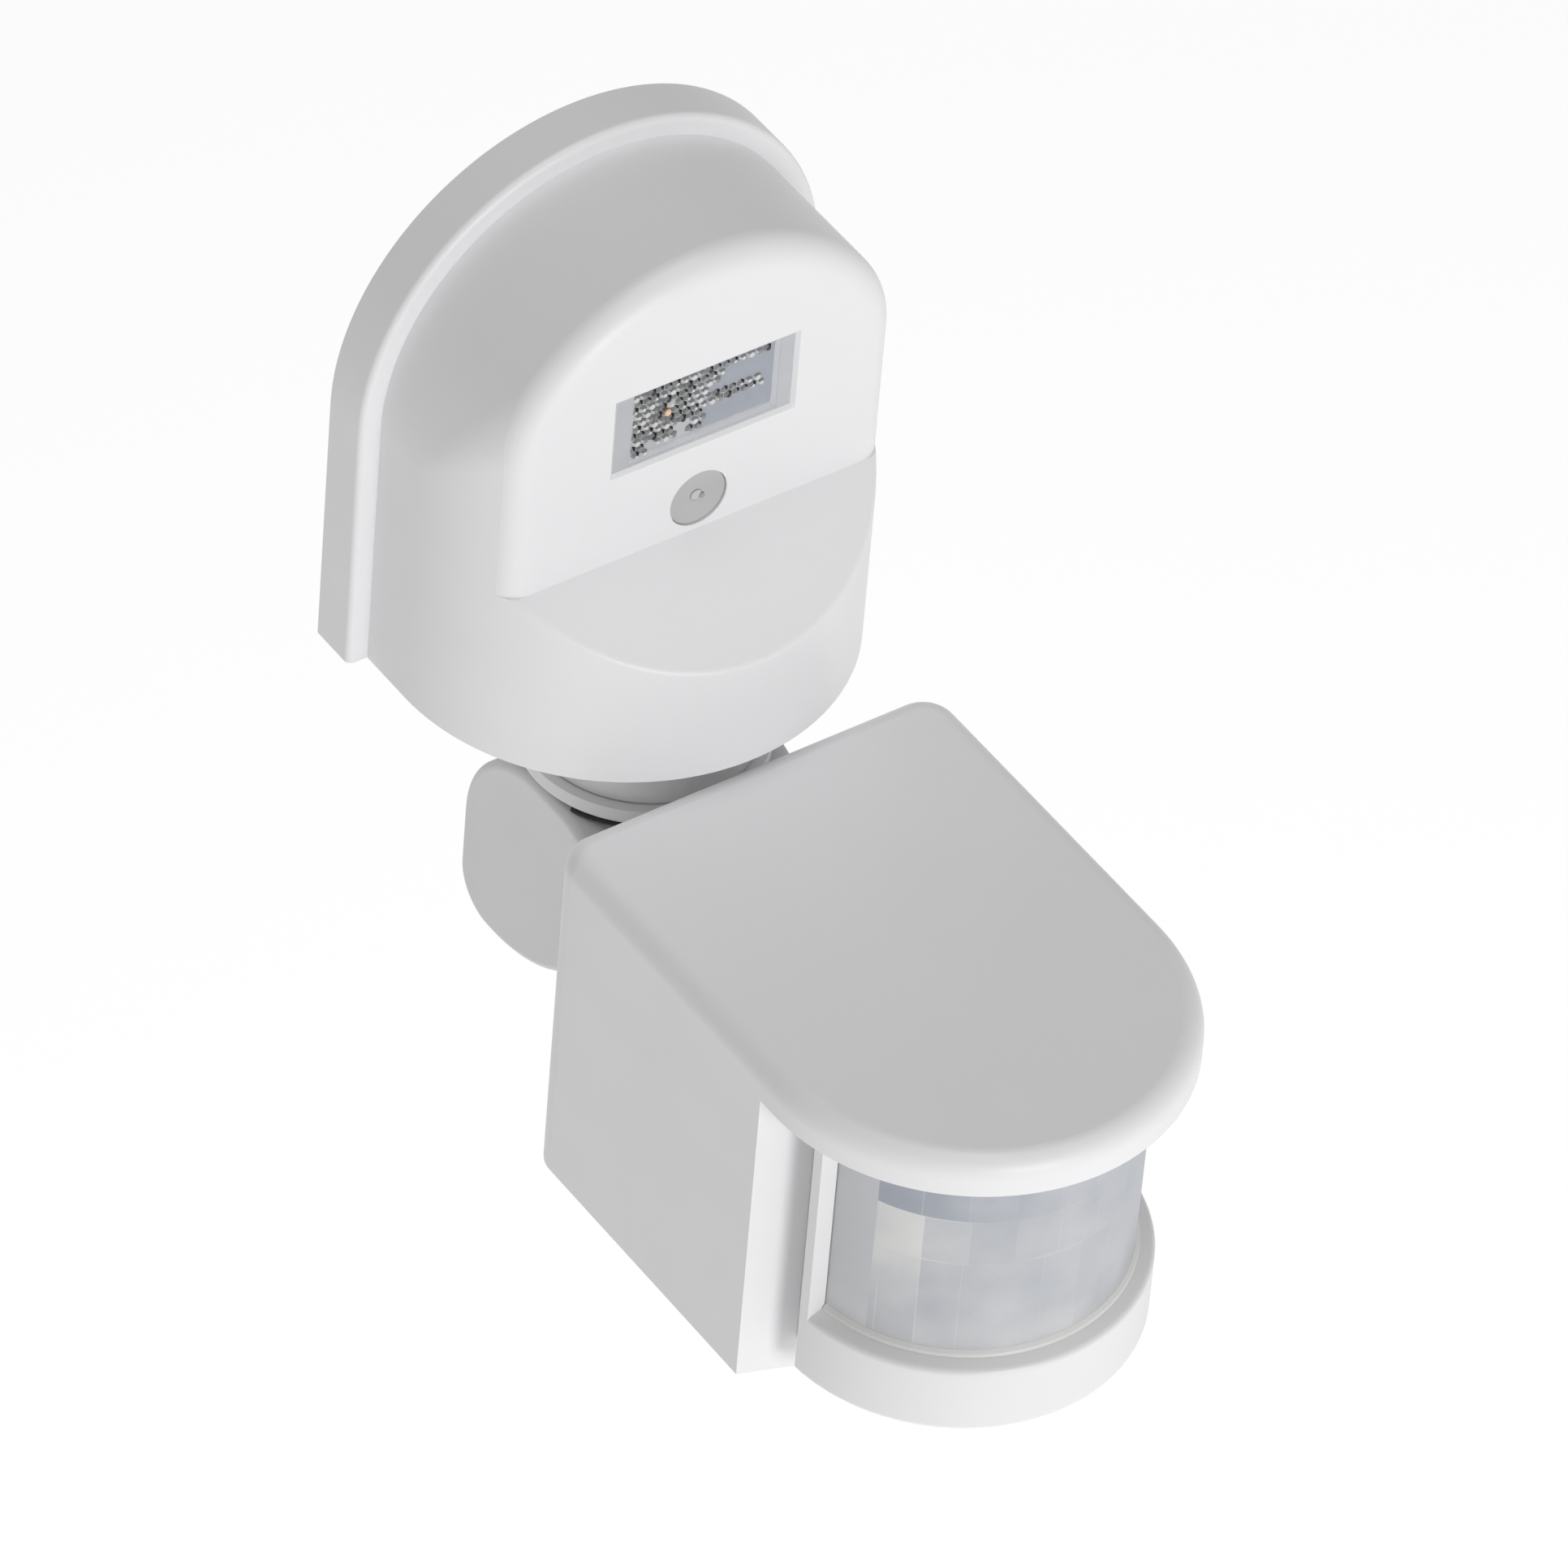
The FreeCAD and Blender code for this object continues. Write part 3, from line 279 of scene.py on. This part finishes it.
WHITE = (0.80, 0.80, 0.81)
MATERIALS = {
    "housing": moulded("housing_plastic", WHITE),
    "bezel": moulded("bezel_plastic", (0.77, 0.77, 0.775), rough=0.36),
    "swivel": moulded("swivel_plastic", (0.76, 0.76, 0.765), rough=0.5, grain=0.02),
    "plate": moulded("plate_plastic", (0.62, 0.62, 0.61), rough=0.55, grain=0.03, cell=1500.0),
    "plug": moulded("plug_plastic", (0.48, 0.48, 0.48), rough=0.34),
    "lens": lens_material("lens_sheet"),
    "window": clear_moulding("window_clear", (0.53, 0.54, 0.565), through=0.1),
    "seal": rubber("seal_rubber", (0.02, 0.02, 0.022)),
    "insulator": moulded("nylon", (0.72, 0.71, 0.66), rough=0.5, grain=0.02),
    "sheath": rubber("lead_sheath", (0.04, 0.04, 0.042), rough=0.6),
    "friction": rubber("friction_fibre", (0.12, 0.11, 0.09)),
    "fasteners": metal("plated_steel", (0.55, 0.55, 0.54)),
    "brass_parts": metal("brass", (0.72, 0.52, 0.22)),
    "circuit_board": board("solder_mask", (0.012, 0.09, 0.04)),
    "light_chips": moulded("light_chip", (0.85, 0.72, 0.22), rough=0.25),
    "sensor_can": metal("nickel_can", (0.62, 0.61, 0.58), rough=0.25),
    "indicator": clear_moulding("indicator_lens", (0.5, 0.03, 0.02)),
    "relay_case": moulded("relay_case", (0.02, 0.06, 0.22), rough=0.25),
    "capacitor_case": moulded("capacitor_case", (0.42, 0.26, 0.03), rough=0.2),
    "capacitor_can": metal("capacitor_can", (0.5, 0.5, 0.52)),
    "chip_case": moulded("chip_case", (0.02, 0.02, 0.02), rough=0.5),
    "trimmer_case": moulded("trimmer_case", (0.03, 0.05, 0.09), rough=0.4),
    "cell": moulded("photocell_disc", (0.5, 0.2, 0.05), rough=0.3),
    "knob": moulded("knob_plastic", (0.035, 0.035, 0.038), rough=0.4, grain=0.02),
}
for part in frame["record"]["subparts"]:
    piece = NODES[part["node"]]
    piece.data.materials.clear()
    piece.data.materials.append(MATERIALS[part["material_slot"]])


# Extra pieces

def piece_from(name, mesh_maker, body, slot, *materials):
    """Object from a bmesh filled by mesh_maker, riding on a body."""
    mesh = bpy.data.meshes.new(name)
    bm = bmesh.new()
    mesh_maker(bm)
    bm.to_mesh(mesh)
    bm.free()
    for material in materials:
        mesh.materials.append(material)
    piece = bpy.data.objects.new(name, mesh)
    bpy.context.scene.collection.objects.link(piece)
    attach(piece, body)


def ring_of(bm, centre, axis_u, axis_v, radius, count):
    """Circle of vertices in the plane of two axes."""
    points = []
    for k in range(count):
        angle = 2 * math.pi * k / count
        across, along = radius * math.cos(angle), radius * math.sin(angle)
        points.append(bm.verts.new(centre + axis_u * across + axis_v * along))
    return points


def turned(bm, centre, axis, profile, count):
    """Lathe: profile is (distance along the axis, radius) pairs; a radius of 0 closes the end."""
    axis = Vector(axis)
    u = axis.orthogonal().normalized()
    v = axis.cross(u)
    rings = []
    for along, radius in profile:
        place = Vector(centre) + axis * along
        rings.append([bm.verts.new(place)] if radius == 0 else ring_of(bm, place, u, v, radius, count))
    for low, high in zip(rings, rings[1:]):
        for k in range(count):
            n = (k + 1) % count
            corners = [low[k % len(low)], low[n % len(low)], high[n % len(high)], high[k % len(high)]]
            unique = list(dict.fromkeys(corners))
            if len(unique) > 2:
                bm.faces.new(unique)
    for face in bm.faces:
        face.smooth = True
    bmesh.ops.recalc_face_normals(bm, faces=bm.faces)


def skinned(bm, sections):
    """Closed skin over a row of sections that have the same number of vertices."""
    count = len(sections[0])
    for low, high in zip(sections, sections[1:]):
        for k in range(count):
            bm.faces.new((low[k], low[(k + 1) % count], high[(k + 1) % count], high[k]))
    bm.faces.new(sections[0])
    bm.faces.new(sections[-1])
    bmesh.ops.recalc_face_normals(bm, faces=bm.faces)


def swept_bar(bm, start, end, width_axis, depth_axis, section):
    """Bar from start to end whose cross-section is (width, depth) pairs in order round its outline."""
    wide, deep = Vector(width_axis), Vector(depth_axis)
    skinned(bm, [[bm.verts.new(Vector(place) + wide * a + deep * b) for a, b in section]
                 for place in (start, end)])


# The light window in the base's face

CELL = 1.28 * MM
FACE_Y = -32.9 * MM
POCKET_X = (-11.3 * MM, 11.7 * MM)
POCKET_Z = (43.3 * MM, 55.1 * MM)
POCKET_Y = -31.8 * MM


def lattice():
    """Row, column and centre (x and z in mm) of each cell of a honeycomb that fills the window's pocket."""
    row = 0
    z = POCKET_Z[0] + CELL * 0.5
    while z < POCKET_Z[1] - CELL * 0.3:
        x = POCKET_X[0] + CELL * (0.55 if row % 2 else 1.05)
        column = 0
        while x < POCKET_X[1] - CELL * 0.5:
            yield row, column, x / MM, z / MM
            x += CELL
            column += 1
        z += CELL * math.sqrt(3) / 2
        row += 1


def sparkles(x, z):
    """Whether a cell lies where its flanks carry painted dark and bright specks, painted shade and painted
    highlight standing in for light refracted by the clear window: a block, its feet and two arms.
    """
    along_top = z > 53.4 or (z > 51.6 and x < 3.0)
    block = z > 47.2 and x < -1.8
    branch = abs(z - 49.1) < 0.9 and x < 9.8
    feet = x < -8.4 or (z > 44.6 and (-7.4 < x < -3.6 or -2.0 < x < 0.8))
    return along_top or block or branch or feet


# A cell's faces take painted shade, a mid tone and a painted highlight, standing in for light refracted by
# the clear window
DARK, MID, LIGHT = 0, 1, 2                # material numbers of a cell's faces
CELL_TOPS = (LIGHT, MID, MID, LIGHT, MID, LIGHT, DARK)
CELL_FLANKS = (DARK, MID, MID, LIGHT, MID, DARK)


def window_cells(bm):
    """Small six-sided pyramids with flat tops; some faces are painted dark as shade and some painted bright
    as highlight.
    """
    base_y, top_y = POCKET_Y - 0.02 * MM, POCKET_Y - 0.42 * MM
    for row, column, x, z in lattice():
        if not sparkles(x, z):
            continue
        pick = (row * row + column * 5 + row * 3) % 7
        outside, inside = 0.58 - 0.03 * (pick % 3), 0.2 + 0.05 * (pick % 4)
        # glint: cells above the pilot light painted bright all over, a painted highlight
        glint = abs(x + 5.2) < 0.8 and 50.0 < z < 51.2          # the bright cells above the pilot light
        outer, inner = [], []
        for k in range(6):
            angle = math.radians(60 * k + 30)
            c, s = math.cos(angle) * CELL, math.sin(angle) * CELL
            outer.append(bm.verts.new((x * MM + outside * c, base_y, z * MM + outside * s)))
            inner.append(bm.verts.new((x * MM + inside * c, top_y, z * MM + inside * s)))
        bm.faces.new(outer)
        bm.faces.new(inner).material_index = LIGHT if glint else CELL_TOPS[pick]
        for k in range(6):
            flank = bm.faces.new((outer[k], outer[(k + 1) % 6], inner[(k + 1) % 6], inner[k]))
            flank.material_index = LIGHT if glint else CELL_FLANKS[(k + pick % 2) % 6]
    bmesh.ops.recalc_face_normals(bm, faces=bm.faces)


# One clear moulding in three tones: painted shade, a mid tone and painted highlight
piece_from("window_cells", window_cells, "base", "window",
           clear_moulding("cell_painted_shade", (0.02, 0.02, 0.022)), clear_moulding("cell_painted_midtone", (0.33, 0.335, 0.34)),
           clear_moulding("cell_painted_highlight", (0.82, 0.82, 0.82)))


def calm_sheet(bm):
    """Smooth, slightly wavy part of the window, beside and between the rows of cells."""
    across, down = 24, 16
    left, width, bottom, height = -1.4, 12.5, 44.2, 10.4
    rows = []
    for j in range(down + 1):
        z = bottom + height * j / down
        row = []
        for k in range(across + 1):
            x = left + width * k / across
            wave = 0.08 + 0.03 * math.sin(2.1 * x) * math.cos(1.7 * z)
            row.append(bm.verts.new((x * MM, POCKET_Y - wave * MM, z * MM)))
        rows.append(row)
    for low, high in zip(rows, rows[1:]):
        for k in range(across):
            bm.faces.new((low[k], low[k + 1], high[k + 1], high[k]))
    bmesh.ops.solidify(bm, geom=bm.faces[:], thickness=0.03 * MM)
    bmesh.ops.recalc_face_normals(bm, faces=bm.faces)


piece_from("calm_sheet", calm_sheet, "base", "window",
           clear_moulding("calm_glass", (0.69, 0.72, 0.79), rough=0.35, through=0.1))


def pilot_light(bm):
    """Domed orange lamp among the cells."""
    turned(bm, (-5.4 * MM, POCKET_Y, 49.5 * MM), (0, -1, 0),
           [(0.1 * MM, 0), (0.1 * MM, 0.55 * MM), (0.3 * MM, 0.53 * MM), (0.44 * MM, 0.42 * MM),
            (0.52 * MM, 0.25 * MM), (0.54 * MM, 0)], 24)


piece_from("pilot_light", pilot_light, "base", "indicator",
           clear_moulding("pilot_orange", (0.93, 0.62, 0.42), rough=0.15, through=0.1))


def sloped_frame(bm, x_range, z_range, front, back, width):
    """Four mitred strips whose faces slope from an outer edge in front to an inner edge behind."""
    def corners(inset, y):
        low_x, high_x = x_range[0] + inset, x_range[1] - inset
        low_z, high_z = z_range[0] + inset, z_range[1] - inset
        return [bm.verts.new(place) for place in
                ((low_x, y, low_z), (high_x, y, low_z), (high_x, y, high_z), (low_x, y, high_z))]

    edge, foot, heel = corners(0, front), corners(width, back), corners(0, back)
    for first, second in ((edge, foot), (foot, heel), (heel, edge)):
        for k in range(4):
            n = (k + 1) % 4
            bm.faces.new((first[k], first[n], second[n], second[k]))
    bmesh.ops.recalc_face_normals(bm, faces=bm.faces)


def window_rim(bm):
    """Sloped white rim where the opening's edge meets the light window."""
    sloped_frame(bm, (-14.38 * MM, 14.38 * MM), (42.42 * MM, 55.58 * MM),
                 FACE_Y - 0.02 * MM, -32.41 * MM, 0.5 * MM)


def pocket_rim(bm):
    """Sloped wall of the pocket in the light window, painted lighter than the window to take out the shade in
    the pocket.
    """
    margin = 0.08 * MM
    across = (POCKET_X[0] - margin, POCKET_X[1] + margin)
    upright = (POCKET_Z[0] - margin, POCKET_Z[1] + margin)
    sloped_frame(bm, across, upright, -32.42 * MM, POCKET_Y - 0.01 * MM, 0.75 * MM)


piece_from("window_rim", window_rim, "base", "housing", MATERIALS["housing"])
# The pocket wall's lighter tone is painted light over the pocket's shade
piece_from("pocket_rim", pocket_rim, "base", "window",
           clear_moulding("pocket_wall_painted_light", (0.62, 0.63, 0.66), rough=0.3, through=0.05))


# The dished plug below the window

def plug_gate(bm):
    """Moulding gate in the hollow of the plug: a low dome whose shape catches a highlight, with a lighter
    tone than the plug as painted highlight.
    """
    turned(bm, (0.3 * MM, -31.93 * MM, 32.65 * MM), (0, -1, 0),
           [(0, 0), (0, 0.9 * MM), (0.05 * MM, 0.78 * MM), (0.1 * MM, 0.5 * MM), (0.13 * MM, 0.22 * MM),
            (0.14 * MM, 0)], 32)


def plug_pit(bm):
    """Small raised ring round a pit, beside the gate, darker than the plug as painted shade in the pit."""
    turned(bm, (1.15 * MM, -31.97 * MM, 32.35 * MM), (0, -1, 0),
           [(0, 0), (0, 0.45 * MM), (0.2 * MM, 0.36 * MM), (0.22 * MM, 0.28 * MM), (0.06 * MM, 0.2 * MM),
            (0.04 * MM, 0)], 24)


# The dome is lighter than the plug: a painted highlight
piece_from("plug_gate", plug_gate, "base", "plug", moulded("gate_dome_painted_highlight", (0.54, 0.54, 0.54), rough=0.3))
# The ring is darker than the plug: painted shade in the pit
piece_from("plug_pit", plug_pit, "base", "plug", moulded("gate_ring_painted_shade", (0.38, 0.38, 0.38), rough=0.3))


# Black ring painted as the shadow of the gap under the knuckle's disc, and a pale bead at the foot of the
# lens painted as a glow; their sections are (radius, height) pairs in mm

PAN_AXIS_Y = -25.0                        # mm
SHADOW_RING_REACH = 68                           # degrees to each side of the middle of an arc
SHADOW_RING_STEPS = 48
SHADOW_RING_SECTION = ((13.5, -15.82), (16.7, -15.82), (16.95, -15.95), (16.95, -16.45), (16.7, -16.56),
                (13.5, -16.56))
FOOT_REACH = 81
FOOT_STEPS = 72
FOOT_SECTION = ((23.42, -41.72), (24.15, -41.58), (24.0, -41.2), (23.55, -40.75), (23.42, -40.7))


def neck_shadow_ring(bm):
    """Two arcs of black rubber under the disc, in front and behind, just above the cheeks of the knuckle: a
    dark band painted as the shadow of the gap between the disc and the cheeks.
    """
    for middle in (-90, 90):
        rows = []
        for k in range(SHADOW_RING_STEPS + 1):
            angle = math.radians(middle - SHADOW_RING_REACH + 2 * SHADOW_RING_REACH * k / SHADOW_RING_STEPS)
            c, s = math.cos(angle), math.sin(angle)
            rows.append([bm.verts.new((r * c * MM, (r * s + PAN_AXIS_Y) * MM, z * MM))
                         for r, z in SHADOW_RING_SECTION])
        skinned(bm, rows)


# A black band painted where the gap under the disc lies in shade
piece_from("neck_shadow_ring", neck_shadow_ring, "swivel", "seal", MATERIALS["seal"])


def lens_foot(bm):
    """Low rounded bead where the lens stands in the groove of the chin, pale as painted light shining through
    the foot of the sheet, covering the groove's shade.
    """
    rows = []
    for k in range(FOOT_STEPS + 1):
        angle = math.radians(-FOOT_REACH + 2 * FOOT_REACH * k / FOOT_STEPS)
        s, c = math.sin(angle), math.cos(angle)
        rows.append([bm.verts.new((r * s * MM, LENS_CENTRE_Y - r * c * MM, z * MM))
                     for r, z in FOOT_SECTION])
    skinned(bm, rows)


# The bead's pale tone is a painted glow of light through the lens foot
piece_from("lens_foot", lens_foot, "head", "lens",
           moulded("lens_foot_painted_glow", (0.72, 0.715, 0.70), rough=0.3))


# Marks round the adjusting knobs below the head

KNOBS_X = (-14.0, 0.0, 14.0)              # mm
KNOBS_Y = -74.0                           # mm
DIAL_FACE_Z = -57.28                      # mm
DIAL_TURN = 135                           # degrees to each side of the middle of a knob's turn
DIAL_SECTION = [(-0.16 * MM, 0), (-0.1 * MM, 0.16 * MM), (0.1 * MM, 0.16 * MM), (0.16 * MM, 0)]


def dial_marks(bm):
    """Seven raised ticks around each adjuster, longer at the two ends of its turn."""
    for x in KNOBS_X:
        for k in range(7):
            angle = math.radians(-90 - DIAL_TURN + 45 * k)
            c, s = math.cos(angle), math.sin(angle)
            reach = 6.75 if k in (0, 6) else 6.45
            start, end = [((x + r * c) * MM, (KNOBS_Y + r * s) * MM, DIAL_FACE_Z * MM) for r in (5.75, reach)]
            swept_bar(bm, start, end, (-s, c, 0), (0, 0, -1), DIAL_SECTION)


piece_from("dial_marks", dial_marks, "head", "knob", MATERIALS["knob"])


# Camera, light and floor

AZIMUTH = math.radians(-37.692)
ELEVATION = math.radians(42.695)
ROLL = math.radians(5.068)
DISTANCE = 1.8
LENS_LENGTH = 311.07                      # focal length in mm on a sensor 36 mm wide
SENSOR_WIDTH = 36.0
AIM = (-31.715 * MM, 32.324 * MM)         # how far the object's origin is from the middle of the view
LIT_POINT = (0.0, -0.06, 0.0)             # where both lights point


def add_camera():
    back = Vector((math.sin(AZIMUTH) * math.cos(ELEVATION), -math.cos(AZIMUTH) * math.cos(ELEVATION),
                   math.sin(ELEVATION)))
    right = Vector((math.cos(AZIMUTH), math.sin(AZIMUTH), 0.0))
    up = back.cross(right)
    side = right * math.cos(ROLL) + up * math.sin(ROLL)
    top = up * math.cos(ROLL) - right * math.sin(ROLL)
    place = back * DISTANCE - side * AIM[0] - top * AIM[1]
    data = bpy.data.cameras.new("camera")
    data.sensor_width = SENSOR_WIDTH
    data.lens = LENS_LENGTH
    data.clip_start = 0.05
    data.clip_end = 100.0
    camera = bpy.data.objects.new("camera", data)
    turn = Matrix((side, top, back)).transposed().to_4x4()
    camera.matrix_world = Matrix.Translation(place) @ turn
    bpy.context.scene.collection.objects.link(camera)
    bpy.context.scene.camera = camera


def add_area_light(name, place, size, power):
    data = bpy.data.lights.new(name, "AREA")
    data.shape = "DISK"
    data.size = size
    data.energy = power
    light = bpy.data.objects.new(name, data)
    light.location = place
    light.rotation_mode = "QUATERNION"
    light.rotation_quaternion = (Vector(LIT_POINT) - Vector(place)).to_track_quat("-Z", "Y")
    bpy.context.scene.collection.objects.link(light)


def add_world(strength):
    world = bpy.data.worlds.new("studio")
    world.use_nodes = True
    ground = world.node_tree.nodes["Background"]
    ground.inputs["Color"].default_value = (1.0, 1.0, 1.0, 1.0)
    ground.inputs["Strength"].default_value = strength
    bpy.context.scene.world = world


def add_floor(level, glow):
    """Large pale floor; seen from below it is clear, so the object's underside can be looked at."""
    mesh = bpy.data.meshes.new("floor")
    reach = 30.0
    corners = [(x * reach, y * reach, level) for x, y in ((-1, -1), (1, -1), (1, 1), (-1, 1))]
    mesh.from_pydata(corners, [], [(0, 1, 2, 3)])
    m = Shader("floor_paint")
    mottle = m.noise(3.0, 2.0)
    m.set("Base Color", m.mix(mottle, (0.89, 0.89, 0.89), (0.91, 0.91, 0.91)))
    m.set("Roughness", 0.9)
    m.set("Emission Color", (1.0, 1.0, 1.0, 1.0))
    m.set("Emission Strength", glow)
    clear = m.tree.nodes.new("ShaderNodeBsdfTransparent")
    choose = m.tree.nodes.new("ShaderNodeMixShader")
    m.put(choose.inputs[0], m.tree.nodes.new("ShaderNodeNewGeometry").outputs["Backfacing"])
    m.put(choose.inputs[1], m.surface.outputs[0])
    m.put(choose.inputs[2], clear.outputs[0])
    m.put(m.output.inputs["Surface"], choose.outputs[0])
    mesh.materials.append(m.material)
    floor = bpy.data.objects.new("floor", mesh)
    bpy.context.scene.collection.objects.link(floor)


add_camera()
add_world(strength=0.265)
add_area_light("key", (-0.18, -2.4, 0.5), size=0.9, power=24.5)
add_area_light("overhead", (0.15, -0.2, 2.2), size=1.3, power=14.2)
add_floor(level=-0.45, glow=0.51)
bpy.context.scene.view_settings.view_transform = "Standard"
